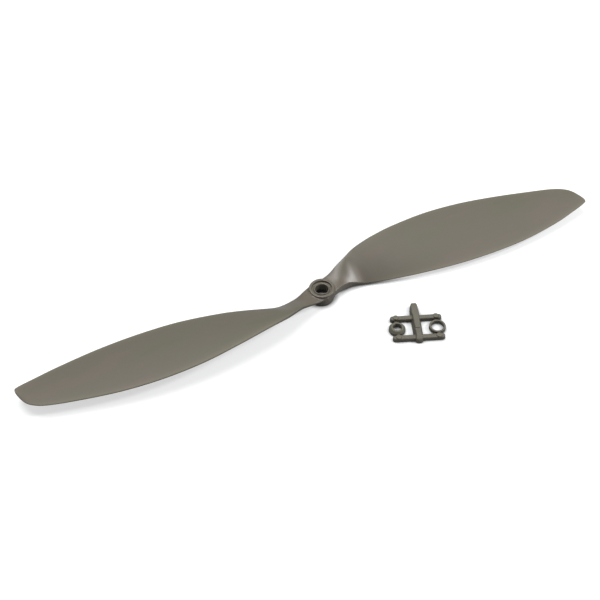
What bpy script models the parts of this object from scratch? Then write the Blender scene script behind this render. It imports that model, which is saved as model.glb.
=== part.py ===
"""Slow-flight propeller, 12 x 3.8 in, with the moulded frame that carries its two shaft adapter rings.

The propeller lies front face up on its hub. Its bore axis is vertical, at X = 0, Y = BORE_Y. The right
blade points along +X, and the left blade is the same shape turned half a turn. The propeller turns
counterclockwise seen from above, so the right blade leads with its +Y edge.
The ring frame lies in front of the right blade. Every solid stands on Z = 0.
"""

import math

import bmesh
import bpy
import numpy as np
from mathutils import Matrix, Vector

MM = 0.001
INCH = 25.4 * MM

# Clearance between neighbouring solids that touch, or are one piece, on the real mouldings.
GAP = 0.3 * MM

# Propeller.
BORE_Y = 16.6 * MM
HUB_RADIUS = 0.25 * INCH
HUB_HEIGHT = 7.2 * MM
HUB_EDGE = 0.35 * MM
BORE_RADIUS = 0.125 * INCH
BORE_CHAMFER = 0.5 * MM
FRONT_RECESS_RADIUS = 4.95 * MM
FRONT_RECESS_DEPTH = 1.2 * MM
COLLAR_RADIUS = 3.9 * MM
COLLAR_HEIGHT = 0.5 * MM
REAR_SEAT_RADIUS = 4.0 * MM
REAR_SEAT_DEPTH = 3.0 * MM
HUB_STEPS = 48
CLEARANCE_BOTTOM = -5.0 * MM
CLEARANCE_TOP = 15.0 * MM

# Blade stations from root to tip, in mm: distance from the bore axis, leading edge y and z, trailing
# edge y and z, and the thickness at mid-section, at the leading edge and at the trailing edge. The
# root is a thick strut, the rest a thin aerofoil. The last station is at the 6 in tip radius.
BLADE_STATIONS = (
    (0.0, 6.2, 4.7, -5.4, 4.6, 2.8, 1.6, 3.2),
    (4.0, 6.4, 4.9, -4.8, 4.5, 2.9, 1.7, 3.2),
    (8.0, 7.0, 5.8, -3.3, 4.3, 3.3, 1.9, 3.6),
    (12.0, 8.1, 7.6, -2.0, 3.3, 4.1, 2.0, 4.1),
    (16.0, 9.4, 9.3, -1.6, 2.5, 4.2, 1.5, 3.6),
    (20.0, 11.1, 10.5, -2.2, 1.7, 3.3, 1.1, 2.3),
    (24.0, 12.6, 11.4, -3.5, 1.3, 2.7, 0.8, 1.0),
    (30.0, 14.0, 12.1, -5.6, 1.7, 2.4, 0.6, 0.7),
    (38.0, 15.4, 12.4, -8.3, 2.4, 2.2, 0.5, 0.6),
    (50.0, 17.0, 12.1, -11.7, 3.2, 2.1, 0.4, 0.5),
    (70.0, 18.3, 10.8, -15.7, 3.9, 2.0, 0.4, 0.5),
    (90.0, 17.2, 9.4, -17.6, 4.1, 1.8, 0.4, 0.5),
    (110.0, 13.8, 8.1, -17.8, 4.3, 1.6, 0.4, 0.5),
    (130.0, 8.5, 7.4, -16.0, 5.0, 1.3, 0.4, 0.5),
    (142.0, 4.6, 7.2, -13.9, 5.9, 1.1, 0.4, 0.5),
    (147.7, 1.3, 7.1, -12.8, 6.4, 1.0, 0.4, 0.5),
    (150.4, -2.0, 7.0, -12.1, 6.7, 0.9, 0.4, 0.5),
    (151.9, -6.4, 6.9, -11.5, 6.8, 0.8, 0.4, 0.5),
    (152.4, -9.3, 6.9, -10.3, 6.9, 0.6, 0.4, 0.4),
)
BLADE_STEPS = 3
SECTION_STEPS = 9
CAMBER = 0.04
CAMBER_START = 12.0
CAMBER_FULL = 36.0
ROOT_END = 14.0
BLADE_START = 26.0
UNDERCUT = 0.35

# Ring frame, in its own axes: u runs along the cross bars, v along the centre bar.
FRAME_X = 30.3 * MM
FRAME_Y = BORE_Y - 40.1 * MM
FRAME_TURN = math.radians(-24.2)
CROSS_BAR_V = 6.15 * MM
CROSS_BAR_LENGTH = 25.0 * MM
CROSS_BAR_WIDTH = 2.7 * MM
CROSS_BAR_HEIGHT = 2.3 * MM
CROSS_BAR_EDGE = 0.7 * MM
CROSS_BAR_END_STEPS = 8
PAD_RADIUS = 1.35 * MM
PAD_BOTTOM = 0.3 * MM
PAD_HEIGHT = 2.65 * MM
PAD_STEPS = 20
GATE_WIDTH = 1.6 * MM
GATE_HEIGHT = 1.1 * MM

# Centre bar stations, in mm: place along v, half widths at the base and at the top, and height.
CENTRE_BAR_STATIONS = (
    (-8.8, 0.9, 0.7, 1.5),
    (-8.3, 1.6, 1.3, 2.3),
    (-7.6, 2.0, 1.6, 2.7),
    (-6.0, 2.1, 1.4, 3.2),
    (-4.0, 2.3, 1.4, 3.3),
    (6.0, 2.4, 1.5, 3.3),
    (8.5, 2.4, 1.8, 3.3),
    (11.5, 2.2, 1.7, 3.3),
    (14.2, 1.7, 1.4, 3.0),
    (15.0, 1.1, 0.8, 2.2),
)
CENTRE_BAR_CROWN = 3.3 * MM
SHOULDER_SHARE = 0.8
FLAT_TOP_SHARE = 0.75
MARK_V = -0.5 * MM
MARK_LENGTH = 2.6 * MM
MARK_WIDTH = 2.2 * MM
MARK_HEIGHT = 0.25 * MM
NOTCH_REACH = 4.0 * MM
NOTCH_BOTTOM = -1.0 * MM
NOTCH_ROOF = CROSS_BAR_HEIGHT + GAP

# Adapter rings: both fit the hub's rear seat, and their bores fit thinner shafts.
RING_U = 9.7 * MM
RING_RADIUS = 5.0 / 32.0 * INCH
RING_EDGE = 0.25 * MM
RING_STEPS = 32
THIN_RING_BORE = 3.0 * MM
THIN_RING_HEIGHT = 2.0 * MM
STEPPED_RING_BORE = 2.1 * MM
STEPPED_RING_HEIGHT = 2.6 * MM
STEPPED_RING_LIP = 3.0 * MM
STEPPED_RING_SIDE = 1.4 * MM

SMOOTH_ANGLE = math.radians(35.0)


def clear_scene():
    for item in list(bpy.data.objects):
        bpy.data.objects.remove(item, do_unlink=True)


def plastic(name, colour, roughness):
    """A Principled material of one moulded colour, in linear values."""
    material = bpy.data.materials.new(name)
    material.use_nodes = True
    shader = material.node_tree.nodes["Principled BSDF"]
    shader.inputs["Base Color"].default_value = (*colour, 1.0)
    shader.inputs["Roughness"].default_value = roughness
    shader.inputs["Metallic"].default_value = 0.0
    return material


def add_empty(name, place, turn=0.0, parent=None):
    empty = bpy.data.objects.new(name, None)
    bpy.context.scene.collection.objects.link(empty)
    empty.location = place
    empty.rotation_euler = (0.0, 0.0, turn)
    empty.parent = parent
    return empty


def add_object(name, mesh, parent, material, turn=0.0):
    item = bpy.data.objects.new(name, mesh)
    bpy.context.scene.collection.objects.link(item)
    item.parent = parent
    item.rotation_euler = (0.0, 0.0, turn)
    item.data.materials.append(material)
    return item


def finish_mesh(name, bm):
    """Turn every face outwards, and give back a mesh whose shallow edges are shaded smooth."""
    bmesh.ops.recalc_face_normals(bm, faces=bm.faces)
    mesh = bpy.data.meshes.new(name)
    bm.to_mesh(mesh)
    bm.free()
    mesh.shade_smooth()
    mesh.set_sharp_from_angle(angle=SMOOTH_ANGLE)
    return mesh


def combine(item, other, operation):
    """Apply a Boolean that joins the other object to the item, or cuts it away."""
    modifier = item.modifiers.new(operation.title(), "BOOLEAN")
    modifier.operation = operation
    modifier.solver = "EXACT"
    modifier.object = other
    other.hide_render = True
    other.display_type = "WIRE"


def loft(bm, sections):
    """Skin a row of closed sections that have the same number of points, and cap both ends."""
    rings = [[bm.verts.new(point) for point in section] for section in sections]
    for near, far in zip(rings, rings[1:]):
        for index in range(len(near)):
            after = (index + 1) % len(near)
            bm.faces.new((near[index], near[after], far[after], far[index]))
    bm.faces.new(rings[0])
    bm.faces.new(rings[-1])


def turned_mesh(name, profile, steps):
    """Spin a closed profile of (radius, height) points one full turn about Z."""
    bm = bmesh.new()
    verts = [bm.verts.new((radius, 0.0, height)) for radius, height in profile]
    edges = [bm.edges.new(pair) for pair in zip(verts, verts[1:] + verts[:1])]
    bmesh.ops.spin(bm, geom=verts + edges, cent=(0.0, 0.0, 0.0), axis=(0.0, 0.0, 1.0),
                   dvec=(0.0, 0.0, 0.0), angle=2.0 * math.pi, steps=steps, use_merge=True)
    return finish_mesh(name, bm)


def cylinder_mesh(name, radius, bottom, top, steps):
    bm = bmesh.new()
    middle = Matrix.Translation((0.0, 0.0, (bottom + top) / 2.0))
    bmesh.ops.create_cone(bm, cap_ends=True, segments=steps, radius1=radius, radius2=radius,
                          depth=top - bottom, matrix=middle)
    return finish_mesh(name, bm)


def block(bm, low, high):
    """Add a box between two corners."""
    low = Vector(low)
    high = Vector(high)
    matrix = Matrix.Translation((low + high) / 2.0) @ Matrix.Diagonal((*(high - low), 1.0))
    bmesh.ops.create_cube(bm, size=1.0, matrix=matrix)


def smooth_rows(rows, steps):
    """Rows on a Catmull-Rom curve through the given rows, with steps from each row to the next."""
    rows = np.array(rows)
    rows = np.vstack((2.0 * rows[0] - rows[1], rows, 2.0 * rows[-1] - rows[-2]))
    smooth = []
    for before, start, end, after in zip(rows, rows[1:], rows[2:], rows[3:]):
        leave = (end - before) / 2.0
        arrive = (after - start) / 2.0
        for t in np.arange(steps) / steps:
            ease = 3.0 * t**2 - 2.0 * t**3
            row = start + (end - start) * ease
            row = row + leave * (t**3 - 2.0 * t**2 + t) + arrive * (t**3 - t**2)
            smooth.append(row)
    smooth.append(rows[-2])
    return smooth


def aerofoil(share):
    """Half thickness of a thin rounded-nose section, 1 at its thickest, at a share of the chord."""
    shape = 0.2969 * math.sqrt(share) - 0.1260 * share - 0.3516 * share**2
    shape += 0.2843 * share**3 - 0.1036 * share**4
    return shape / 0.10006


def blade_section(station):
    """Closed loop of points round one section: over the top to the trailing edge, and back below.

    The root's trailing wall is upright and its leading wall is undercut. Further out, both walls stand
    square to the chord.
    """
    x, lead_y, lead_z, trail_y, trail_z, thick, lead_thick, trail_thick = station
    lead = Vector((x, lead_y, lead_z)) * MM
    chord = Vector((x, trail_y, trail_z)) * MM - lead
    up = Vector((0.0, chord.z, -chord.y)).normalized()
    fullness = min(max((x - CAMBER_START) / (CAMBER_FULL - CAMBER_START), 0.0), 1.0)
    outer = min(max((x - ROOT_END) / (BLADE_START - ROOT_END), 0.0), 1.0)
    bulge = thick - (lead_thick + trail_thick) / 2.0
    top = []
    bottom = []
    for step in range(SECTION_STEPS + 1):
        share = (1.0 - math.cos(math.pi * step / SECTION_STEPS)) / 2.0
        half = (lead_thick + (trail_thick - lead_thick) * share + bulge * aerofoil(share)) / 2.0
        rise = fullness * CAMBER * chord.length * 4.0 * share * (1.0 - share)
        middle = lead + chord * share + up * rise
        lift = Vector((0.0, UNDERCUT * (1.0 - share), 1.0)).lerp(up, outer) * half * MM
        top.append(middle + lift)
        bottom.append(middle - lift)
    return top + bottom[::-1]


def blade_mesh():
    """One blade along +X, from the bore axis out to the tip."""
    bm = bmesh.new()
    loft(bm, [blade_section(row) for row in smooth_rows(BLADE_STATIONS, BLADE_STEPS)])
    return finish_mesh("blade", bm)


def hub_profile():
    """Outline of the hub's wall: recessed front face with a raised collar, bore and rear ring seat."""
    top = HUB_HEIGHT
    floor = HUB_HEIGHT - FRONT_RECESS_DEPTH
    collar = floor + COLLAR_HEIGHT
    return (
        (HUB_RADIUS - HUB_EDGE, 0.0),
        (HUB_RADIUS, HUB_EDGE),
        (HUB_RADIUS, top - HUB_EDGE),
        (HUB_RADIUS - HUB_EDGE, top),
        (FRONT_RECESS_RADIUS, top),
        (FRONT_RECESS_RADIUS, floor),
        (COLLAR_RADIUS, floor),
        (COLLAR_RADIUS, collar),
        (BORE_RADIUS + BORE_CHAMFER, collar),
        (BORE_RADIUS, collar - BORE_CHAMFER),
        (BORE_RADIUS, REAR_SEAT_DEPTH),
        (REAR_SEAT_RADIUS, REAR_SEAT_DEPTH),
        (REAR_SEAT_RADIUS, 0.0),
    )


def make_propeller(material):
    """The hub and its two blades, all on one empty on the bore axis."""
    axis = add_empty("propeller_axis", (0.0, BORE_Y, 0.0))
    add_object("hub", turned_mesh("hub", hub_profile(), HUB_STEPS), axis, material)
    clearance = cylinder_mesh("hub_clearance", HUB_RADIUS + GAP, CLEARANCE_BOTTOM, CLEARANCE_TOP,
                              HUB_STEPS)
    cutter = add_object("hub_clearance", clearance, axis, material)
    blade = blade_mesh()
    for name, turn in (("blade_right", 0.0), ("blade_left", math.pi)):
        combine(add_object(name, blade, axis, material, turn), cutter, "DIFFERENCE")


def cross_bar_mesh():
    """A straight runner with round ends and softened top edges, along u, standing on Z = 0."""
    bm = bmesh.new()
    radius = CROSS_BAR_WIDTH / 2.0
    straight = CROSS_BAR_LENGTH / 2.0 - radius
    outline = []
    for end, start in ((straight, -90.0), (-straight, 90.0)):
        for step in range(CROSS_BAR_END_STEPS + 1):
            angle = math.radians(start + 180.0 * step / CROSS_BAR_END_STEPS)
            outline.append((end + radius * math.cos(angle), radius * math.sin(angle), 0.0))
    base = bm.faces.new([bm.verts.new(point) for point in outline])
    raised = bmesh.ops.extrude_face_region(bm, geom=[base], use_keep_orig=True)["geom"]
    top_verts = [part for part in raised if isinstance(part, bmesh.types.BMVert)]
    bmesh.ops.translate(bm, verts=top_verts, vec=(0.0, 0.0, CROSS_BAR_HEIGHT))
    top_edges = [part for part in raised if isinstance(part, bmesh.types.BMEdge)]
    bmesh.ops.bevel(bm, geom=top_edges, offset=CROSS_BAR_EDGE, segments=2, profile=0.5,
                    affect="EDGES")
    return finish_mesh("cross_bar", bm)


def make_cross_bar(name, side, frame, material):
    """One cross bar with its two ejector pads and the gates that reach towards the rings."""
    bar = add_object(name, cross_bar_mesh(), frame, material)
    bar.location = (0.0, side * CROSS_BAR_V, 0.0)
    for end in (-1.0, 1.0):
        label = f"{name}_{'left' if end < 0.0 else 'right'}"
        pad = cylinder_mesh(f"{label}_pad", PAD_RADIUS, PAD_BOTTOM, PAD_HEIGHT, PAD_STEPS)
        pad_item = add_object(f"{label}_pad", pad, frame, material)
        pad_item.location = (end * RING_U, side * CROSS_BAR_V, 0.0)
        combine(bar, pad_item, "UNION")
        bm = bmesh.new()
        reach = sorted((side * CROSS_BAR_V, side * (RING_RADIUS + GAP)))
        block(bm, (end * RING_U - GATE_WIDTH / 2.0, reach[0], 0.0),
              (end * RING_U + GATE_WIDTH / 2.0, reach[1], GATE_HEIGHT))
        gate_item = add_object(f"{label}_gate", finish_mesh(f"{label}_gate", bm), frame, material)
        combine(bar, gate_item, "UNION")


def centre_bar_mesh():
    """The centre bar: a wedge section along v, round at the front end and tapered at the back."""
    bm = bmesh.new()
    sections = []
    for v, base, top, height in smooth_rows(CENTRE_BAR_STATIONS, 2):
        shoulder = height * SHOULDER_SHARE
        side = base + (top - base) * SHOULDER_SHARE
        flat = top * FLAT_TOP_SHARE
        outline = ((-base, 0.0), (base, 0.0), (side, shoulder), (flat, height), (-flat, height),
                   (-side, shoulder))
        sections.append([Vector((u, v, z)) * MM for u, z in outline])
    loft(bm, sections)
    return finish_mesh("centre_bar", bm)


def make_centre_bar(frame, material):
    """The centre bar, with a plain raised mark on top and a notch over each cross bar."""
    bar = add_object("ring_frame_centre_bar", centre_bar_mesh(), frame, material)
    bm = bmesh.new()
    block(bm, (-MARK_WIDTH / 2.0, MARK_V - MARK_LENGTH / 2.0, CENTRE_BAR_CROWN / 2.0),
          (MARK_WIDTH / 2.0, MARK_V + MARK_LENGTH / 2.0, CENTRE_BAR_CROWN + MARK_HEIGHT))
    combine(bar, add_object("centre_mark", finish_mesh("centre_mark", bm), frame, material), "UNION")
    for side in (-1.0, 1.0):
        bm = bmesh.new()
        middle = side * CROSS_BAR_V
        half = CROSS_BAR_WIDTH / 2.0 + GAP
        block(bm, (-NOTCH_REACH, middle - half, NOTCH_BOTTOM),
              (NOTCH_REACH, middle + half, NOTCH_ROOF))
        name = f"notch_{'front' if side < 0.0 else 'back'}"
        combine(bar, add_object(name, finish_mesh(name, bm), frame, material), "DIFFERENCE")


def thin_ring_profile():
    return (
        (RING_RADIUS - RING_EDGE, 0.0),
        (RING_RADIUS, RING_EDGE),
        (RING_RADIUS, THIN_RING_HEIGHT - RING_EDGE),
        (RING_RADIUS - RING_EDGE, THIN_RING_HEIGHT),
        (THIN_RING_BORE + RING_EDGE, THIN_RING_HEIGHT),
        (THIN_RING_BORE, THIN_RING_HEIGHT - RING_EDGE),
        (THIN_RING_BORE, 0.0),
    )


def stepped_ring_profile():
    return (
        (RING_RADIUS - RING_EDGE, 0.0),
        (RING_RADIUS, RING_EDGE),
        (RING_RADIUS, STEPPED_RING_SIDE),
        (STEPPED_RING_LIP, STEPPED_RING_HEIGHT - RING_EDGE),
        (STEPPED_RING_LIP - RING_EDGE, STEPPED_RING_HEIGHT),
        (STEPPED_RING_BORE + RING_EDGE, STEPPED_RING_HEIGHT),
        (STEPPED_RING_BORE, STEPPED_RING_HEIGHT - RING_EDGE),
        (STEPPED_RING_BORE, 0.0),
    )


def make_rings(frame, material):
    """The two adapter rings, each on an empty on its own axis."""
    for name, u, profile in (("adapter_ring_stepped", -RING_U, stepped_ring_profile()),
                             ("adapter_ring_thin", RING_U, thin_ring_profile())):
        axis = add_empty(f"{name}_axis", (u, 0.0, 0.0), parent=frame)
        add_object(name, turned_mesh(name, profile, RING_STEPS), axis, material)


def main():
    clear_scene()
    propeller_nylon = plastic("propeller_nylon", (0.170, 0.158, 0.138), 0.42)
    ring_nylon = plastic("ring_nylon", (0.130, 0.126, 0.108), 0.45)
    make_propeller(propeller_nylon)
    frame = add_empty("ring_frame", (FRAME_X, FRAME_Y, 0.0), FRAME_TURN)
    make_cross_bar("ring_frame_front_bar", -1.0, frame, ring_nylon)
    make_cross_bar("ring_frame_back_bar", 1.0, frame, ring_nylon)
    make_centre_bar(frame, ring_nylon)
    make_rings(frame, ring_nylon)


main()
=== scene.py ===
"""Moulded slow-flight propeller, with its shaft adapter rings still on their runner frame.

Everything is in metres, in the CAD frame. The propeller lies front face up, and its bore axis is vertical.
The right blade points along +X and leads with its +Y edge. The left blade is the same, turned half a turn.
"""

import math

import bmesh
import bpy
import numpy as np
from mathutils import Matrix, Vector


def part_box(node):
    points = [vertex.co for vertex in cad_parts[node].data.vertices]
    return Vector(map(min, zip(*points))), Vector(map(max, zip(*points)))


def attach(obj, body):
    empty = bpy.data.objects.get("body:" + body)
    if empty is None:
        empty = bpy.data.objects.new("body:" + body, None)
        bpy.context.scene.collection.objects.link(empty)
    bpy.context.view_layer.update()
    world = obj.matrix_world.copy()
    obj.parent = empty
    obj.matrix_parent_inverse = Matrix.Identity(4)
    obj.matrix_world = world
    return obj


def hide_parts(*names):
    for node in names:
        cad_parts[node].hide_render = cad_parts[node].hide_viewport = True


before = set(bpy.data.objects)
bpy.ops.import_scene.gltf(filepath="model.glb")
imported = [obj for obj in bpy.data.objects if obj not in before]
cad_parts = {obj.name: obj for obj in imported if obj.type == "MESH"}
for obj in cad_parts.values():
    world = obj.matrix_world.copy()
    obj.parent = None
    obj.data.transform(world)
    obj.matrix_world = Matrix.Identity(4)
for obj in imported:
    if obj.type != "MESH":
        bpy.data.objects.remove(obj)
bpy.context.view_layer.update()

bl_info = {
    "name": "Slow-flight Propeller",
    "version": (1, 0, 0),
    "blender": (4, 5, 0),
    "location": "3D View > Sidebar > Propeller",
    "description": "Builds a moulded slow-flight propeller, its adapter rings and a plain stage",
    "category": "Object",
}

MM = 0.001
PROPELLER_NODES = ("hub", "blade_right", "blade_left")
FRAME_NODES = ("ring_frame_front_bar", "ring_frame_back_bar", "ring_frame_centre_bar")

# Blade stations from root to tip, in mm: distance from the bore axis, leading edge y and z, trailing
# edge y and z, and the thickness at mid-section, at the leading edge and at the trailing edge. The
# edges from 30 to 142 mm out are measurements rounded to 0.1 mm, not a designer's law.
BLADE_STATIONS = (
    (0.0, 6.2, 4.7, -5.4, 4.6, 2.8, 1.6, 3.2),
    (4.0, 6.4, 4.9, -4.8, 4.5, 2.9, 1.7, 3.2),
    (8.0, 7.0, 5.8, -3.3, 4.3, 3.3, 1.9, 3.6),
    (12.0, 8.1, 7.6, -2.0, 3.3, 4.1, 2.0, 4.1),
    (16.0, 9.4, 9.3, -1.6, 2.5, 4.2, 1.5, 3.6),
    (20.0, 11.1, 10.5, -2.2, 1.7, 3.3, 1.1, 2.3),
    (24.0, 12.6, 11.4, -3.5, 1.3, 2.7, 0.8, 1.0),
    (30.0, 14.0, 12.1, -5.6, 1.7, 2.4, 0.6, 0.7),
    (38.0, 15.4, 12.4, -8.3, 2.4, 2.2, 0.5, 0.6),
    (50.0, 17.0, 12.1, -11.7, 3.2, 2.1, 0.4, 0.5),
    (70.0, 18.3, 10.8, -15.7, 3.9, 2.0, 0.4, 0.5),
    (90.0, 17.2, 9.4, -17.6, 4.1, 1.8, 0.4, 0.5),
    (110.0, 13.8, 8.1, -17.8, 4.3, 1.6, 0.4, 0.5),
    (130.0, 8.5, 7.4, -16.0, 5.0, 1.3, 0.4, 0.5),
    (142.0, 4.6, 7.2, -13.9, 5.9, 1.1, 0.4, 0.5),
    (147.7, 1.3, 7.1, -12.8, 6.4, 1.0, 0.4, 0.5),
    (150.4, -2.0, 7.0, -12.1, 6.7, 0.9, 0.4, 0.5),
    (151.9, -6.4, 6.9, -11.5, 6.8, 0.8, 0.4, 0.5),
    (152.4, -9.3, 6.9, -10.3, 6.9, 0.6, 0.4, 0.4),
)
# The first segments cross the hub's wall, where the fillet needs finer steps.
ROOT_SEGMENTS = 2
ROOT_STEPS = 40
BLADE_STEPS = 8
SECTION_STEPS = 18
CORNER_STEPS = 4
# Distances from the bore axis, in mm, between which the section changes from strut to aerofoil.
CAMBER_START = 12.0
CAMBER_FULL = 36.0
ROOT_END = 14.0
BLADE_START = 26.0
UNDERCUT = 0.35
# The blades run this far into the hub's wall.
WALL_OVERLAP = 0.4 * MM
# Painted light along the thin outline starts at this station, grows over the next stretch and fades
# inwards, in mm.
THIN_STATION = 6
THIN_GROWTH = 12.0
THIN_FADE = 1.2

# Finish of the nylon: polished up to one distance from the bore axis, eroded and matt from the other.
POLISH_END = 24.0 * MM
MATT_START = 29.0 * MM
POLISHED_ROUGHNESS = 0.33
MATT_ROUGHNESS = 0.6
SPECK_ROUGHNESS = 0.1
SPECK_SIZE = 0.35 * MM
NYLON_IOR = 1.53
# Lengths of the clouded streaks, in mm, and the crease angle of smooth shading, in degrees.
BLADE_STREAK = 14.0
FRAME_STREAK = 5.0
CREASE_ANGLE = 38.0

# Ring frame details.
BAR_FOOT_EDGE = 0.3 * MM
PAD_FOOT = 0.3 * MM
PAD_EDGE = 0.15 * MM
GATE_FOOT = 0.05 * MM
GATE_EDGE = 0.15 * MM
RING_CLEARANCE = 0.1 * MM
MARK_PLACE = -0.5 * MM
MARK_EDGE = 0.1 * MM
CROWN_STATION = 4

# Stage: where the softboxes stand as seen from the bore, and the camera's place and turn.
SOFTBOX_DISTANCE = 1.2
KEY_TOWARD = (0.66, -0.34, 0.66)
TOP_TOWARD = (-0.10, 0.28, 0.95)
SEEN_BRIGHTNESS = 0.95
CAMERA_AZIMUTH = -28.6
CAMERA_ELEVATION = 47.2675
CAMERA_YAW = -1.1702
CAMERA_PITCH = -0.1248
CAMERA_DISTANCE = 0.52636
CAMERA_LENS = 63.88

# Centre bar stations, in mm: place along the bar, half widths at the base and at the top, and height.
CENTRE_BAR_STATIONS = (
    (-8.8, 0.9, 0.7, 1.5),
    (-8.3, 1.6, 1.3, 2.3),
    (-7.6, 2.0, 1.6, 2.7),
    (-6.0, 2.1, 1.4, 3.2),
    (-4.0, 2.3, 1.4, 3.3),
    (6.0, 2.4, 1.5, 3.3),
    (8.5, 2.4, 1.8, 3.3),
    (11.5, 2.2, 1.7, 3.3),
    (14.2, 1.7, 1.4, 3.0),
    (15.0, 1.1, 0.8, 2.2),
)


def linear(code):
    """Linear RGB of an sRGB hex colour."""
    values = [int(code[place:place + 2], 16) / 255.0 for place in (0, 2, 4)]
    return tuple(v / 12.92 if v <= 0.04045 else ((v + 0.055) / 1.055) ** 2.4 for v in values)


def middle_and_size(node):
    """Centre and size of a CAD node's box."""
    low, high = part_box(node)
    return (low + high) / 2.0, high - low


HUB_MIDDLE, HUB_SIZE = middle_and_size("hub")
BORE_AXIS = Vector((HUB_MIDDLE.x, HUB_MIDDLE.y, 0.0))
STEPPED_MIDDLE, STEPPED_SIZE = middle_and_size("adapter_ring_stepped")
THIN_MIDDLE, THIN_SIZE = middle_and_size("adapter_ring_thin")
ACROSS = Vector((THIN_MIDDLE.x - STEPPED_MIDDLE.x, THIN_MIDDLE.y - STEPPED_MIDDLE.y))
RING_REACH = ACROSS.length / 2.0
FRAME_PLACE = Matrix.Translation(((THIN_MIDDLE.x + STEPPED_MIDDLE.x) / 2.0,
                                  (THIN_MIDDLE.y + STEPPED_MIDDLE.y) / 2.0, 0.0))
FRAME_PLACE = FRAME_PLACE @ Matrix.Rotation(math.atan2(ACROSS.y, ACROSS.x), 4, "Z")


def length(name, default, description):
    """A length property, in metres."""
    return bpy.props.FloatProperty(name=name, description=description, default=default, min=0.0,
                                   precision=5, unit="LENGTH")


def colour(name, code, description):
    """A colour property with its default given as an sRGB hex code."""
    return bpy.props.FloatVectorProperty(name=name, description=description, default=linear(code),
                                         min=0.0, max=1.0, size=3, subtype="COLOR")


class PropellerSettings(bpy.types.PropertyGroup):
    hub_radius: length("Hub radius", HUB_SIZE.x / 2.0, "Outer radius of the hub")
    wall_radius: length("Wall radius", 5.9 * MM, "Radius of the hub's wall below its rim")
    rim_bottom: length("Rim bottom", 6.1 * MM, "Height of the rim's lower edge")
    hub_height: length("Hub height", HUB_SIZE.z, "Height of the hub, from its back face")
    bore_radius: length("Bore radius", 3.175 * MM, "Radius of the quarter-inch shaft bore")
    recess_radius: length("Recess radius", 4.95 * MM, "Radius of the recess in the hub's front face")
    recess_floor: length("Recess floor", 6.0 * MM, "Height of the front recess's floor")
    collar_radius: length("Collar radius", 3.9 * MM, "Outer radius of the collar round the bore")
    collar_top: length("Collar top", 6.5 * MM, "Height of the collar's top")
    seat_radius: length("Seat radius", 4.0 * MM, "Radius of the ring seat in the hub's back face")
    seat_depth: length("Seat depth", 3.0 * MM, "Depth of the ring seat")
    hub_edge: length("Hub edge", 0.4 * MM, "Rounding of the hub's outer edges")
    recess_edge: length("Recess edge", 0.3 * MM, "Rounding of the edges inside the recess")
    bore_edge: length("Bore edge", 0.6 * MM, "Rounding of the bore's mouth")
    root_fillet: length("Root fillet", 0.4 * MM, "Rounding where each blade meets the hub")
    corner: length("Corner", 0.45 * MM, "Rounding of the blunt root's corners")
    camber: bpy.props.FloatProperty(name="Camber", description="Height of the mean line over the chord",
                                    default=0.04, min=0.0, max=0.2)
    blade_colour: colour("Blade colour", "5f5e51", "Nylon of the blades, slightly olive")
    root_colour: colour("Root colour", "665f57", "Nylon of the hub and roots, slightly browner")
    # Painted light: the thin blade edges are mixed towards this lighter colour, standing in for light
    # passing through them.
    edge_colour: colour("Edge colour", "7a7566", "Thin edges, where light passes through")


class AdapterRingSettings(bpy.types.PropertyGroup):
    ring_radius: length("Ring radius", THIN_SIZE.x / 2.0, "Outer radius of both rings")
    thin_bore: length("Thin ring bore", 3.0 * MM, "Bore radius of the thin ring")
    thin_height: length("Thin ring height", THIN_SIZE.z, "Height of the thin ring")
    stepped_bore: length("Stepped ring bore", 2.1 * MM, "Bore radius of the stepped ring")
    stepped_height: length("Stepped ring height", STEPPED_SIZE.z, "Height of the stepped ring")
    lip_radius: length("Lip radius", 3.0 * MM, "Radius of the stepped ring's lip")
    side_height: length("Side height", 1.4 * MM, "Height of the stepped ring's straight side")
    edge: length("Edge", 0.25 * MM, "Rounding of the rings' edges")


class RingFrameSettings(bpy.types.PropertyGroup):
    bar_spacing: length("Bar spacing", 6.15 * MM, "Distance of each cross bar from the rings' line")
    bar_length: length("Bar length", 25.0 * MM, "Length of each cross bar")
    bar_width: length("Bar width", 2.7 * MM, "Width of each cross bar")
    bar_height: length("Bar height", 2.3 * MM, "Height of each cross bar")
    bar_edge: length("Bar edge", 0.7 * MM, "Rounding of the cross bars' top edges")
    pad_radius: length("Pad radius", 1.35 * MM, "Radius of the ejector pads")
    pad_height: length("Pad height", 2.65 * MM, "Height of the ejector pads")
    gate_width: length("Gate width", 1.6 * MM, "Width of the gates that feed the rings")
    gate_height: length("Gate height", 1.1 * MM, "Height of the gates")
    mark_length: length("Mark length", 2.6 * MM, "Length of the plain raised mark")
    mark_width: length("Mark width", 2.2 * MM, "Width of the plain raised mark")
    mark_height: length("Mark height", 0.25 * MM, "How far the mark stands above the bar")
    frame_colour: colour("Frame colour", "656357", "Nylon of the frame and rings")
    frame_shade: colour("Frame shade", "5f5b53", "Browner nylon in the frame's streaks")


class StageSettings(bpy.types.PropertyGroup):
    floor_size: length("Floor size", 4.0, "Side of the square floor")
    floor_colour: colour("Floor colour", "a9aaab", "Pale acrylic of the light table")
    # Painted shade: the table's glow fades within this reach of a part.
    shade_reach: length("Shade reach", 3.3 * MM, "How near a part has to be to shade the table")
    floor_glow: bpy.props.FloatProperty(name="Floor glow", description="Glow that the camera sees",
                                        default=0.52, min=0.0)
    key_power: bpy.props.FloatProperty(name="Key power", description="Power of the key softbox",
                                       default=7.0, min=0.0, unit="POWER")
    key_size: length("Key size", 0.18, "Side of the key softbox")
    top_power: bpy.props.FloatProperty(name="Top power", description="Power of the overhead softbox",
                                       default=11.0, min=0.0, unit="POWER")
    top_size: length("Top size", 0.8, "Side of the overhead softbox")
    sky_strength: bpy.props.FloatProperty(name="Sky strength", description="Brightness all round",
                                          default=0.30, min=0.0)


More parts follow.
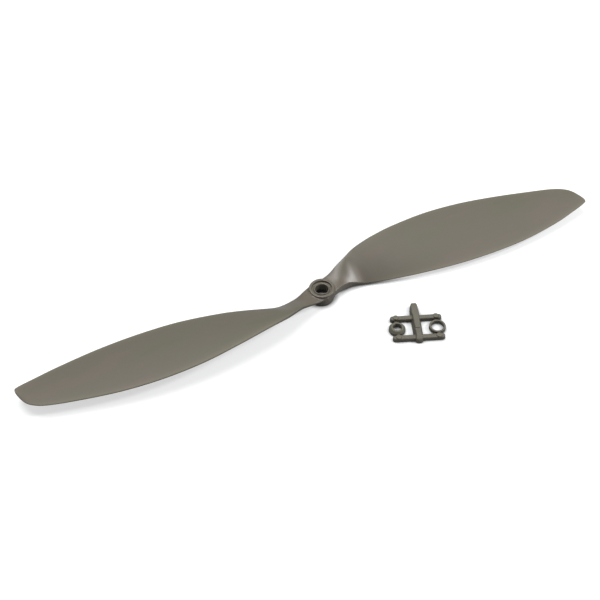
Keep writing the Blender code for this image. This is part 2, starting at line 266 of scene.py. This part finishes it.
def add_node(tree, kind, inputs=None, **settings):
    """Add a node, set its properties, and set its inputs or link sockets to them."""
    node = tree.nodes.new(kind)
    for name, value in settings.items():
        setattr(node, name, value)
    for key, value in (inputs or {}).items():
        if isinstance(value, bpy.types.NodeSocket):
            tree.links.new(value, node.inputs[key])
        else:
            node.inputs[key].default_value = value
    return node


def new_tree(name, inputs):
    """A geometry tree with one geometry output and the named inputs."""
    tree = bpy.data.node_groups.new(name, "GeometryNodeTree")
    tree.interface.new_socket("Geometry", in_out="OUTPUT", socket_type="NodeSocketGeometry")
    for label, kind in inputs:
        tree.interface.new_socket(label, in_out="INPUT", socket_type=f"NodeSocket{kind}")
    return tree, tree.nodes.new("NodeGroupInput").outputs


def turned_tree(name, corners):
    """A tree that turns a rounded profile about Z. Each corner names its radius, height and rounding."""
    labels = sorted({label for corner in corners for label in corner if label})
    inputs = [(label, "Float") for label in labels] + [("Steps", "Int"), ("Finish", "Material")]
    tree, given = new_tree(name, inputs)
    index = add_node(tree, "GeometryNodeInputIndex").outputs[0]
    places = add_node(tree, "GeometryNodeIndexSwitch", {"Index": index}, data_type="VECTOR")
    rounding = add_node(tree, "GeometryNodeIndexSwitch", {"Index": index}, data_type="FLOAT")
    for switch in (places, rounding):
        while len(switch.index_switch_items) < len(corners):
            switch.index_switch_items.new()
    for number, (radius, height, edge) in enumerate(corners):
        parts = {}
        if radius:
            parts["X"] = add_node(tree, "ShaderNodeMath", {0: given[radius], 1: MM},
                                  operation="SUBTRACT").outputs[0]
        else:
            parts["X"] = -MM
        if height:
            parts["Y"] = add_node(tree, "ShaderNodeMath", {0: given[height], 1: -1.0},
                                  operation="MULTIPLY").outputs[0]
        place = add_node(tree, "ShaderNodeCombineXYZ", parts).outputs[0]
        tree.links.new(place, places.inputs[str(number)])
        if edge:
            tree.links.new(given[edge], rounding.inputs[str(number)])
    points = add_node(tree, "GeometryNodePoints", {"Count": len(corners), "Position": places.outputs[0]})
    curve = add_node(tree, "GeometryNodePointsToCurves", {0: points.outputs[0]})
    loop = add_node(tree, "GeometryNodeSetSplineCyclic", {0: curve.outputs[0], "Cyclic": True})
    soft = add_node(tree, "GeometryNodeFilletCurve",
                    {"Curve": loop.outputs[0], "Count": 4, "Radius": rounding.outputs[0],
                     "Limit Radius": True}, mode="POLY")
    circle = add_node(tree, "GeometryNodeCurvePrimitiveCircle",
                      {"Resolution": given["Steps"], "Radius": MM})
    turned = add_node(tree, "GeometryNodeCurveToMesh",
                      {"Curve": circle.outputs[0], "Profile Curve": soft.outputs[0]})
    outward = add_node(tree, "GeometryNodeFlipFaces", {0: turned.outputs[0]})
    merged = add_node(tree, "GeometryNodeMergeByDistance", {0: outward.outputs[0], "Distance": 1e-6})
    real = add_node(tree, "GeometryNodeRealizeInstances", {0: merged.outputs[0]})
    finished = add_node(tree, "GeometryNodeSetMaterial",
                        {"Geometry": real.outputs[0], "Material": given["Finish"]})
    add_node(tree, "NodeGroupOutput", {0: finished.outputs[0]})
    return tree


def four_corners_tree(name, part, part_inputs):
    """A tree that puts one copy of a part at each corner of a rectangle."""
    own = [("Reach across", "Float"), ("Reach along", "Float"), ("Finish", "Material")]
    tree, given = new_tree(name, own + part_inputs)
    piece = add_node(tree, "GeometryNodeGroup", node_tree=part)
    for label, _ in part_inputs:
        tree.links.new(given[label], piece.inputs[label])
    tree.links.new(given["Finish"], piece.inputs["Finish"])
    sides = [add_node(tree, "ShaderNodeMath", {0: given[label], 1: 2.0}, operation="MULTIPLY").outputs[0]
             for label in ("Reach across", "Reach along")]
    grid = add_node(tree, "GeometryNodeMeshGrid",
                    {"Size X": sides[0], "Size Y": sides[1], "Vertices X": 2, "Vertices Y": 2})
    copies = add_node(tree, "GeometryNodeInstanceOnPoints",
                      {"Points": grid.outputs[0], "Instance": piece.outputs[0]})
    real = add_node(tree, "GeometryNodeRealizeInstances", {0: copies.outputs[0]})
    finished = add_node(tree, "GeometryNodeSetMaterial",
                        {"Geometry": real.outputs[0], "Material": given["Finish"]})
    add_node(tree, "NodeGroupOutput", {0: finished.outputs[0]})
    return tree


def new_object(name, mesh):
    """An object that shows the mesh, lamp or camera, linked into the scene."""
    item = bpy.data.objects.new(name, mesh)
    bpy.context.scene.collection.objects.link(item)
    return item


def read_mesh(item):
    """A plain mesh of the object as its modifiers leave it."""
    depsgraph = bpy.context.evaluated_depsgraph_get()
    depsgraph.update()
    return bpy.data.meshes.new_from_object(item.evaluated_get(depsgraph))


def grown_mesh(name, tree, values, place=Matrix.Identity(4)):
    """Run a geometry tree with the given inputs, and move the plain mesh that it makes into place."""
    item = new_object(name, bpy.data.meshes.new(name))
    modifier = item.modifiers.new(name, "NODES")
    modifier.node_group = tree
    for socket in tree.interface.items_tree:
        if socket.in_out == "INPUT":
            modifier[socket.identifier] = values[socket.name]
    mesh = read_mesh(item)
    bpy.data.objects.remove(item)
    mesh.transform(place)
    return mesh


def combined(first, second, operation):
    """The mesh that is left when the second mesh is joined to the first, or cut from it."""
    items = [new_object(operation, mesh) for mesh in (first, second)]
    modifier = items[0].modifiers.new(operation, "BOOLEAN")
    modifier.operation = operation
    modifier.solver = "EXACT"
    modifier.object = items[1]
    mesh = read_mesh(items[0])
    for item in items:
        bpy.data.objects.remove(item)
    return mesh


def closed_mesh(name, bm):
    """Finish a bmesh as a mesh whose faces point outwards."""
    bmesh.ops.recalc_face_normals(bm, faces=bm.faces)
    mesh = bpy.data.meshes.new(name)
    bm.to_mesh(mesh)
    bm.free()
    return mesh


def shade(mesh, angle):
    """Smooth shading, with creases only where faces meet at more than the angle, in degrees."""
    mesh.shade_smooth()
    mesh.set_sharp_from_angle(angle=math.radians(angle))


def finished_piece(name, mesh, material, body, slot, *nodes):
    """Turn a mesh into a finished piece that stands for its CAD nodes."""
    mesh.name = name
    mesh.materials.clear()
    mesh.materials.append(material)
    mesh.polygons.foreach_set("material_index", [0] * len(mesh.polygons))
    item = new_object(name, mesh)
    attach(item, body)
    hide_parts(*nodes)
    return item


def smooth_rows(rows, steps):
    """Rows on a Catmull-Rom curve through the given rows, with that many steps in each segment."""
    rows = np.array(rows)
    rows = np.vstack((2.0 * rows[0] - rows[1], rows, 2.0 * rows[-1] - rows[-2]))
    smooth = []
    for before, start, end, after, count in zip(rows, rows[1:], rows[2:], rows[3:], steps):
        leave = (end - before) / 2.0
        arrive = (after - start) / 2.0
        for t in np.arange(count) / count:
            ease = 3.0 * t**2 - 2.0 * t**3
            row = start + (end - start) * ease
            row = row + leave * (t**3 - 2.0 * t**2 + t) + arrive * (t**3 - t**2)
            smooth.append(row)
    smooth.append(rows[-2])
    return np.array(smooth)


def loft(bm, sections):
    """Skin a row of closed sections that have the same number of points, and cap both ends."""
    rings = [[bm.verts.new(point) for point in section] for section in sections]
    for near, far in zip(rings, rings[1:]):
        for index in range(len(near)):
            after = (index + 1) % len(near)
            bm.faces.new((near[index], near[after], far[after], far[index]))
    bm.faces.new(rings[0])
    bm.faces.new(rings[-1])


def aerofoil(share):
    """Half thickness of a thin rounded-nose section, 1 at its thickest, at a share of the chord."""
    shape = 0.2969 * np.sqrt(share) - 0.1260 * share - 0.3516 * share**2
    shape += 0.2843 * share**3 - 0.1036 * share**4
    return shape / 0.10006


def blade_rows():
    """The blade stations with smooth rows between them."""
    steps = [ROOT_STEPS] * ROOT_SEGMENTS + [BLADE_STEPS] * (len(BLADE_STATIONS) - 1 - ROOT_SEGMENTS)
    return smooth_rows(BLADE_STATIONS, steps)


def blade_section(row, settings):
    """Closed loop of points round one section, with its blunt ends rounded at the corners.

    The root's trailing wall is upright and its leading wall is undercut.
    """
    x, lead_y, lead_z, trail_y, trail_z, thick, lead_thick, trail_thick = row
    lead = np.array((x, lead_y, lead_z))
    chord = np.array((x, trail_y, trail_z)) - lead
    width = np.linalg.norm(chord)
    up = np.array((0.0, chord[2], -chord[1])) / width
    corner = settings.corner / MM
    lead_round = min(corner, 0.48 * lead_thick)
    trail_round = min(corner, 0.48 * trail_thick)
    bend = np.linspace(0.0, math.pi / 2.0, CORNER_STEPS + 1)
    start = (1.0 - np.cos(bend)) * lead_round / width
    end = 1.0 - (1.0 - np.cos(bend[::-1])) * trail_round / width
    between = (1.0 - np.cos(np.linspace(0.0, math.pi, SECTION_STEPS + 1))) / 2.0
    between = start[-1] + (end[0] - start[-1]) * between
    share = np.concatenate((start, between[1:-1], end))
    bulge = thick - (lead_thick + trail_thick) / 2.0
    half = (lead_thick + (trail_thick - lead_thick) * share + bulge * aerofoil(share)) / 2.0
    half[:CORNER_STEPS + 1] -= lead_round * (1.0 - np.sin(bend))
    half[-CORNER_STEPS - 1:] -= trail_round * (1.0 - np.sin(bend[::-1]))
    fullness = min(max((x - CAMBER_START) / (CAMBER_FULL - CAMBER_START), 0.0), 1.0)
    rise = fullness * settings.camber * width * 4.0 * share * (1.0 - share)
    middle = lead + np.outer(share, chord) + np.outer(rise, up)
    outer = min(max((x - ROOT_END) / (BLADE_START - ROOT_END), 0.0), 1.0)
    upright = np.stack((0.0 * share, UNDERCUT * (1.0 - share), 1.0 + 0.0 * share), axis=1)
    lift = (upright * (1.0 - outer) + up * outer) * half[:, None]
    return np.concatenate((middle + lift, (middle - lift)[::-1])) * MM


def blade_mesh(settings):
    """One blade along +X from the bore axis, with a fillet that flares where it meets the hub."""
    bm = bmesh.new()
    loft(bm, [blade_section(row, settings) for row in blade_rows()])
    bmesh.ops.recalc_face_normals(bm, faces=bm.faces)
    bm.normal_update()
    fillet = settings.root_fillet
    ceiling = settings.hub_height - settings.hub_edge
    for vert in bm.verts:
        gap = math.hypot(vert.co.x, vert.co.y) - settings.hub_radius
        if gap >= fillet:
            continue
        reach = fillet - max(gap, 0.0)
        room = min(max((ceiling - vert.co.z) / fillet, 0.0), 1.0)
        vert.co += vert.normal * (fillet - math.sqrt(fillet**2 - reach**2)) * room
    return closed_mesh("blade", bm)


def mark_thin_edges(mesh):
    """Store how thin the blade is at each vertex: 1 at its thin outline, and 0 a few millimetres in."""
    # The stored value is the mask of the painted light along the thin edges.
    rows = blade_rows()
    co = np.empty(len(mesh.vertices) * 3)
    mesh.vertices.foreach_get("co", co)
    co = (co.reshape(-1, 3) - np.array(BORE_AXIS)) / MM
    side = np.where(co[:, 0] < 0.0, -1.0, 1.0)
    x = co[:, 0] * side
    y = co[:, 1] * side
    lead = np.interp(x, rows[:, 0], rows[:, 1])
    trail = np.interp(x, rows[:, 0], rows[:, 3])
    thin_root = BLADE_STATIONS[THIN_STATION][0]
    tip = BLADE_STATIONS[-1][0]
    inset = np.minimum(np.minimum(lead - y, y - trail), tip - x)
    thin = np.exp(-np.clip(inset, 0.0, None) / THIN_FADE)
    thin *= np.clip((x - thin_root) / THIN_GROWTH, 0.0, 1.0)
    attribute = mesh.attributes.new("thin_edge", "FLOAT", "POINT")
    attribute.data.foreach_set("value", thin.astype(np.float32))


def cross_bar_mesh(settings, side):
    """A straight runner with round ends and rounded edges, at its place in the frame."""
    bm = bmesh.new()
    radius = settings.bar_width / 2.0
    straight = settings.bar_length / 2.0 - radius
    outline = []
    for end, start in ((straight, -90.0), (-straight, 90.0)):
        for step in range(17):
            angle = math.radians(start + 180.0 * step / 16)
            outline.append((end + radius * math.cos(angle), radius * math.sin(angle), 0.0))
    base = bm.faces.new([bm.verts.new(point) for point in outline])
    raised = bmesh.ops.extrude_face_region(bm, geom=[base], use_keep_orig=True)["geom"]
    top_verts = [part for part in raised if isinstance(part, bmesh.types.BMVert)]
    bmesh.ops.translate(bm, verts=top_verts, vec=(0.0, 0.0, settings.bar_height))
    top_edges = [part for part in raised if isinstance(part, bmesh.types.BMEdge)]
    bmesh.ops.bevel(bm, geom=top_edges, offset=settings.bar_edge, segments=5, profile=0.5,
                    affect="EDGES")
    bm.edges.ensure_lookup_table()
    low_edges = [edge for edge in bm.edges if max(abs(vert.co.z) for vert in edge.verts) < 1e-7]
    bmesh.ops.bevel(bm, geom=low_edges, offset=BAR_FOOT_EDGE, segments=3, profile=0.5, affect="EDGES")
    bmesh.ops.translate(bm, verts=bm.verts, vec=(0.0, side * settings.bar_spacing, 0.0))
    mesh = closed_mesh("cross_bar", bm)
    mesh.transform(FRAME_PLACE)
    return mesh


def centre_bar_mesh():
    """The centre bar: a wedge with rounded shoulders, round at the front and tapered at the back."""
    bm = bmesh.new()
    steps = [6] * (len(CENTRE_BAR_STATIONS) - 1)
    sections = []
    for v, base, top, height in smooth_rows(CENTRE_BAR_STATIONS, steps):
        side = [(base - 0.2, 0.0), (base - 0.05, 0.05), (base, 0.2)]
        for turn in np.linspace(0.0, math.pi / 2.0, 6):
            side.append((top - 0.45 * (1.0 - math.cos(turn)), height - 0.5 * (1.0 - math.sin(turn))))
        loop = side + [(-u, z) for u, z in side[::-1]]
        sections.append([Vector((u, v, z)) * MM for u, z in loop])
    loft(bm, sections)
    mesh = closed_mesh("centre_bar", bm)
    mesh.transform(FRAME_PLACE)
    return mesh


def soft_block(low, high, edge):
    """A block between two corners in the frame's axes, with all its edges rounded."""
    bm = bmesh.new()
    low = Vector(low)
    high = Vector(high)
    matrix = Matrix.Translation((low + high) / 2.0) @ Matrix.Diagonal((*(high - low), 1.0))
    bmesh.ops.create_cube(bm, size=1.0, matrix=matrix)
    bmesh.ops.bevel(bm, geom=list(bm.edges), offset=edge, segments=3, profile=0.5, affect="EDGES")
    mesh = closed_mesh("block", bm)
    mesh.transform(FRAME_PLACE)
    return mesh


def moulded_nylon(name, main, second, streak_mm, edge=None):
    """Glass-filled nylon from a finely eroded mould: satin, faintly clouded, with a very fine grain."""
    material = bpy.data.materials.new(name)
    material.use_nodes = True
    tree = material.node_tree
    shader = tree.nodes["Principled BSDF"]
    place = add_node(tree, "ShaderNodeTexCoord").outputs["Object"]
    stretched = add_node(tree, "ShaderNodeMapping", {"Vector": place, "Scale": (0.35, 1.0, 1.0)})
    clouds = add_node(tree, "ShaderNodeTexNoise",
                      {"Vector": stretched.outputs[0], "Scale": 1.0 / (streak_mm * MM), "Detail": 4.0,
                       "Roughness": 0.6})
    spread = add_node(tree, "ShaderNodeMapRange",
                      {"Value": clouds.outputs[0], "From Min": 0.3, "From Max": 0.7})
    colours = add_node(tree, "ShaderNodeMix",
                       {0: spread.outputs[0], 6: (*main, 1.0), 7: (*second, 1.0)}, data_type="RGBA")
    tone = colours.outputs[2]
    # Painted light: the thin outline is mixed towards the lighter edge colour, as if light passed through
    # it.
    if edge:
        thin = add_node(tree, "ShaderNodeAttribute", attribute_name="thin_edge")
        share = add_node(tree, "ShaderNodeMath", {0: thin.outputs["Fac"], 1: 0.6}, operation="MULTIPLY")
        painted_edge_light = add_node(tree, "ShaderNodeMix", {0: share.outputs[0], 6: tone, 7: (*edge, 1.0)},
                       data_type="RGBA")
        tone = painted_edge_light.outputs[2]
    tree.links.new(tone, shader.inputs["Base Color"])
    # Fibre ends just under the skin break the gloss up in specks a third of a millimetre across.
    specks = add_node(tree, "ShaderNodeTexNoise", {"Vector": place, "Scale": 1.0 / SPECK_SIZE,
                                                   "Detail": 2.0})
    gloss = add_node(tree, "ShaderNodeMapRange",
                     {"Value": specks.outputs[0], "To Min": 0.0, "To Max": SPECK_ROUGHNESS})
    # The mould is polished at the hub and roots and eroded from there out, so the blades are more matt.
    centred = add_node(tree, "ShaderNodeVectorMath", {0: place, 1: BORE_AXIS}, operation="SUBTRACT")
    reach = add_node(tree, "ShaderNodeVectorMath", {0: centred.outputs[0]}, operation="LENGTH")
    finish = add_node(tree, "ShaderNodeMapRange",
                      {"Value": reach.outputs["Value"], "From Min": POLISH_END, "From Max": MATT_START,
                       "To Min": POLISHED_ROUGHNESS, "To Max": MATT_ROUGHNESS})
    rough = add_node(tree, "ShaderNodeMath", {0: gloss.outputs[0], 1: finish.outputs[0]})
    tree.links.new(rough.outputs[0], shader.inputs["Roughness"])
    grain = add_node(tree, "ShaderNodeBump", {"Height": specks.outputs[0], "Strength": 0.25,
                                              "Distance": 0.02 * MM})
    tree.links.new(grain.outputs[0], shader.inputs["Normal"])
    shader.inputs["IOR"].default_value = NYLON_IOR
    return material


def light_table(settings):
    """Sanded white acrylic that glows for the camera only: matt, nearly free of shadows, with painted
    shade near the parts.
    """
    material = bpy.data.materials.new("light table, sanded white acrylic")
    material.use_nodes = True
    tree = material.node_tree
    shader = tree.nodes["Principled BSDF"]
    place = add_node(tree, "ShaderNodeTexCoord").outputs["Object"]
    # Patches a few centimetres wide, where the sanding is a little finer or coarser.
    patches = add_node(tree, "ShaderNodeTexNoise", {"Vector": place, "Scale": 20.0})
    gloss = add_node(tree, "ShaderNodeMapRange",
                     {"Value": patches.outputs[0], "To Min": 0.55, "To Max": 0.65})
    tree.links.new(gloss.outputs[0], shader.inputs["Roughness"])
    # Painted shade: the glow fades where parts stand within a few millimetres, which darkens contact lines
    # and the gaps between close parts.
    near = add_node(tree, "ShaderNodeAmbientOcclusion", {"Distance": settings.shade_reach}, samples=16)
    painted_contact_shade = add_node(tree, "ShaderNodeMapRange",
                       {"Value": near.outputs["AO"], "From Min": 0.45, "From Max": 0.95})
    # Only rays from the camera see the glow, so it whitens the table and doesn't light the parts.
    seen = add_node(tree, "ShaderNodeLightPath").outputs["Is Camera Ray"]
    direct = add_node(tree, "ShaderNodeMath", {0: painted_contact_shade.outputs[0], 1: seen}, operation="MULTIPLY")
    glow = add_node(tree, "ShaderNodeMath", {0: direct.outputs[0], 1: settings.floor_glow},
                    operation="MULTIPLY")
    tree.links.new(glow.outputs[0], shader.inputs["Emission Strength"])
    shader.inputs["Emission Color"].default_value = (1.0, 1.0, 1.0, 1.0)
    shader.inputs["Base Color"].default_value = (*settings.floor_colour, 1.0)
    return material


HUB_CORNERS = (
    ("Seat radius", None, "Recess edge"),
    ("Wall radius", None, "Hub edge"),
    ("Wall radius", "Rim bottom", None),
    ("Hub radius", "Rim bottom", "Hub edge"),
    ("Hub radius", "Hub height", "Hub edge"),
    ("Recess radius", "Hub height", "Recess edge"),
    ("Recess radius", "Recess floor", "Recess edge"),
    ("Collar radius", "Recess floor", None),
    ("Collar radius", "Collar top", "Recess edge"),
    ("Bore radius", "Collar top", "Bore edge"),
    ("Bore radius", "Seat depth", None),
    ("Seat radius", "Seat depth", None),
)
THIN_RING_CORNERS = (
    ("Bore", None, "Edge"),
    ("Outside", None, "Edge"),
    ("Outside", "Height", "Edge"),
    ("Bore", "Height", "Edge"),
)
STEPPED_RING_CORNERS = (
    ("Bore", None, "Edge"),
    ("Outside", None, "Edge"),
    ("Outside", "Side", "Edge"),
    ("Lip", "Height", "Edge"),
    ("Bore", "Height", "Edge"),
)
PAD_CORNERS = (
    (None, "Foot", None),
    ("Radius", "Foot", None),
    ("Radius", "Top", "Edge"),
    (None, "Top", None),
)


class PROPELLER_OT_moulding(bpy.types.Operator):
    """Build the one-piece propeller: the hub and both blades"""

    bl_idname = "propeller.build_moulding"
    bl_label = "Build Propeller"

    def execute(self, context):
        settings = context.scene.propeller_settings
        material = moulded_nylon("glass-filled nylon, satin moulded", settings.blade_colour,
                                 settings.root_colour, BLADE_STREAK, settings.edge_colour)
        sizes = {"Hub radius": settings.hub_radius, "Hub height": settings.hub_height,
                 "Bore radius": settings.bore_radius, "Recess radius": settings.recess_radius,
                 "Recess floor": settings.recess_floor, "Collar radius": settings.collar_radius,
                 "Collar top": settings.collar_top, "Seat radius": settings.seat_radius,
                 "Seat depth": settings.seat_depth, "Hub edge": settings.hub_edge,
                 "Recess edge": settings.recess_edge, "Bore edge": settings.bore_edge,
                 "Wall radius": settings.wall_radius, "Rim bottom": settings.rim_bottom,
                 "Steps": 128, "Finish": material}
        tree = turned_tree("turned hub", HUB_CORNERS)
        moulding = grown_mesh("hub", tree, sizes, Matrix.Translation(BORE_AXIS))
        bm = bmesh.new()
        inside = settings.wall_radius - WALL_OVERLAP
        bmesh.ops.create_cone(bm, cap_ends=True, segments=96, radius1=inside, radius2=inside,
                              depth=40.0 * MM)
        core = closed_mesh("core", bm)
        blade = combined(blade_mesh(settings), core, "DIFFERENCE")
        for turn in (0.0, math.pi):
            turned = blade.copy()
            turned.transform(Matrix.Translation(BORE_AXIS) @ Matrix.Rotation(turn, 4, "Z"))
            moulding = combined(moulding, turned, "UNION")
        mark_thin_edges(moulding)
        shade(moulding, CREASE_ANGLE)
        finished_piece("propeller_moulding", moulding, material, "propeller", "propeller_nylon",
                       *PROPELLER_NODES)
        return {"FINISHED"}


class PROPELLER_OT_rings(bpy.types.Operator):
    """Build the two adapter rings"""

    bl_idname = "propeller.build_rings"
    bl_label = "Build Adapter Rings"

    def execute(self, context):
        settings = context.scene.adapter_ring_settings
        colours = context.scene.ring_frame_settings
        material = moulded_nylon("glass-filled nylon, rings", colours.frame_colour,
                                 colours.frame_shade, FRAME_STREAK)
        shared = {"Outside": settings.ring_radius, "Edge": settings.edge, "Steps": 96,
                  "Finish": material}
        thin = dict(shared, Bore=settings.thin_bore, Height=settings.thin_height)
        stepped = dict(shared, Bore=settings.stepped_bore, Height=settings.stepped_height,
                       Lip=settings.lip_radius, Side=settings.side_height)
        for node, corners, sizes, middle in (
                ("adapter_ring_thin", THIN_RING_CORNERS, thin, THIN_MIDDLE),
                ("adapter_ring_stepped", STEPPED_RING_CORNERS, stepped, STEPPED_MIDDLE)):
            place = Matrix.Translation((middle.x, middle.y, 0.0))
            mesh = grown_mesh(node, turned_tree(node, corners), sizes, place)
            shade(mesh, CREASE_ANGLE)
            finished_piece(f"{node}_moulded", mesh, material, node, "ring_nylon", node)
        return {"FINISHED"}


class PROPELLER_OT_frame(bpy.types.Operator):
    """Build the moulded frame that carries the rings"""

    bl_idname = "propeller.build_frame"
    bl_label = "Build Ring Frame"

    def execute(self, context):
        settings = context.scene.ring_frame_settings
        ring_radius = context.scene.adapter_ring_settings.ring_radius
        material = moulded_nylon("glass-filled nylon, frame", settings.frame_colour,
                                 settings.frame_shade, FRAME_STREAK)
        moulding = combined(cross_bar_mesh(settings, -1.0), cross_bar_mesh(settings, 1.0), "UNION")
        moulding = combined(moulding, centre_bar_mesh(), "UNION")
        pad = turned_tree("ejector pad", PAD_CORNERS)
        labels = [("Radius", "Float"), ("Foot", "Float"), ("Top", "Float"), ("Edge", "Float"),
                  ("Steps", "Int")]
        sizes = {"Radius": settings.pad_radius, "Foot": PAD_FOOT, "Top": settings.pad_height,
                 "Edge": PAD_EDGE, "Steps": 32, "Reach across": RING_REACH,
                 "Reach along": settings.bar_spacing, "Finish": material}
        pads = grown_mesh("pads", four_corners_tree("ejector pads", pad, labels), sizes, FRAME_PLACE)
        moulding = combined(moulding, pads, "UNION")
        for across in (-RING_REACH, RING_REACH):
            for side in (-1.0, 1.0):
                reach = sorted((side * settings.bar_spacing, side * (ring_radius + RING_CLEARANCE)))
                gate = soft_block((across - settings.gate_width / 2.0, reach[0], GATE_FOOT),
                                  (across + settings.gate_width / 2.0, reach[1], settings.gate_height),
                                  GATE_EDGE)
                moulding = combined(moulding, gate, "UNION")
        crown = CENTRE_BAR_STATIONS[CROWN_STATION][3] * MM
        half_width = settings.mark_width / 2.0
        half_length = settings.mark_length / 2.0
        mark = soft_block((-half_width, MARK_PLACE - half_length, crown / 2.0),
                          (half_width, MARK_PLACE + half_length, crown + settings.mark_height), MARK_EDGE)
        moulding = combined(moulding, mark, "UNION")
        shade(moulding, CREASE_ANGLE)
        finished_piece("ring_frame_moulding", moulding, material, "ring_frame", "ring_nylon",
                       *FRAME_NODES)
        return {"FINISHED"}


class PROPELLER_OT_stage(bpy.types.Operator):
    """Build the white floor, the soft lights and the camera"""

    bl_idname = "propeller.build_stage"
    bl_label = "Build Stage"

    def execute(self, context):
        scene = context.scene
        settings = scene.stage_settings
        bm = bmesh.new()
        bmesh.ops.create_grid(bm, x_segments=1, y_segments=1, size=settings.floor_size / 2.0)
        mesh = bpy.data.meshes.new("floor")
        bm.to_mesh(mesh)
        bm.free()
        mesh.materials.append(light_table(settings))
        new_object("floor", mesh)

        world = bpy.data.worlds.new("soft white room")
        scene.world = world
        world.use_nodes = True
        sky = world.node_tree.nodes["Background"]
        sky.inputs["Color"].default_value = (1.0, 1.0, 1.0, 1.0)
        # The room looks white, and lights the parts only weakly.
        seen = add_node(world.node_tree, "ShaderNodeLightPath").outputs["Is Camera Ray"]
        strength = add_node(world.node_tree, "ShaderNodeMapRange",
                            {"Value": seen, "To Min": settings.sky_strength,
                             "To Max": SEEN_BRIGHTNESS})
        world.node_tree.links.new(strength.outputs[0], sky.inputs["Strength"])

        for name, toward, power, size in (
                ("key_softbox", KEY_TOWARD, settings.key_power, settings.key_size),
                ("top_softbox", TOP_TOWARD, settings.top_power, settings.top_size)):
            toward = Vector(toward).normalized()
            lamp = bpy.data.lights.new(name, "AREA")
            lamp.energy = power
            lamp.size = size
            softbox = new_object(name, lamp)
            softbox.location = BORE_AXIS + toward * SOFTBOX_DISTANCE
            softbox.rotation_euler = toward.to_track_quat("Z", "Y").to_euler()

        azimuth = math.radians(CAMERA_AZIMUTH)
        elevation = math.radians(CAMERA_ELEVATION)
        yaw = math.radians(CAMERA_YAW)
        pitch = math.radians(CAMERA_PITCH)
        eye = Vector((math.sin(azimuth) * math.cos(elevation), -math.cos(azimuth) * math.cos(elevation),
                      math.sin(elevation))) * CAMERA_DISTANCE
        ahead = -eye.normalized()
        right = ahead.cross(Vector((0.0, 0.0, 1.0))).normalized()
        up = right.cross(ahead)
        ahead, right = (ahead * math.cos(yaw) + right * math.sin(yaw),
                        right * math.cos(yaw) - ahead * math.sin(yaw))
        ahead, up = (ahead * math.cos(pitch) + up * math.sin(pitch),
                     up * math.cos(pitch) - ahead * math.sin(pitch))
        lens = bpy.data.cameras.new("camera")
        lens.lens = CAMERA_LENS
        camera = new_object("camera", lens)
        matrix = Matrix((right, up, -ahead)).transposed().to_4x4()
        matrix.translation = eye + BORE_AXIS
        camera.matrix_world = matrix
        scene.camera = camera
        scene.view_settings.view_transform = "Standard"
        scene.view_settings.look = "Medium High Contrast"
        return {"FINISHED"}


OPERATORS = (PROPELLER_OT_moulding, PROPELLER_OT_rings, PROPELLER_OT_frame, PROPELLER_OT_stage)
SETTINGS = {
    "propeller_settings": PropellerSettings,
    "adapter_ring_settings": AdapterRingSettings,
    "ring_frame_settings": RingFrameSettings,
    "stage_settings": StageSettings,
}


class PROPELLER_PT_builders(bpy.types.Panel):
    """Lists the propeller's builders"""

    bl_idname = "PROPELLER_PT_builders"
    bl_label = "Slow-flight Propeller"
    bl_space_type = "VIEW_3D"
    bl_region_type = "UI"
    bl_category = "Propeller"

    def draw(self, context):
        for operator in OPERATORS:
            self.layout.operator(operator.bl_idname)
        for name, group in SETTINGS.items():
            box = self.layout.box()
            for field in group.__annotations__:
                box.prop(getattr(context.scene, name), field)


def register():
    """Register the classes and give the scene their settings."""
    for group in (*SETTINGS.values(), *OPERATORS, PROPELLER_PT_builders):
        bpy.utils.register_class(group)
    for name, group in SETTINGS.items():
        setattr(bpy.types.Scene, name, bpy.props.PointerProperty(type=group))


def unregister():
    """Take the settings and the classes away again."""
    for name in SETTINGS:
        delattr(bpy.types.Scene, name)
    for group in reversed((*SETTINGS.values(), *OPERATORS, PROPELLER_PT_builders)):
        bpy.utils.unregister_class(group)


def main():
    register()
    bpy.ops.propeller.build_moulding()
    bpy.ops.propeller.build_rings()
    bpy.ops.propeller.build_frame()
    bpy.ops.propeller.build_stage()
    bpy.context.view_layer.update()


if __name__ == "__main__":
    main()
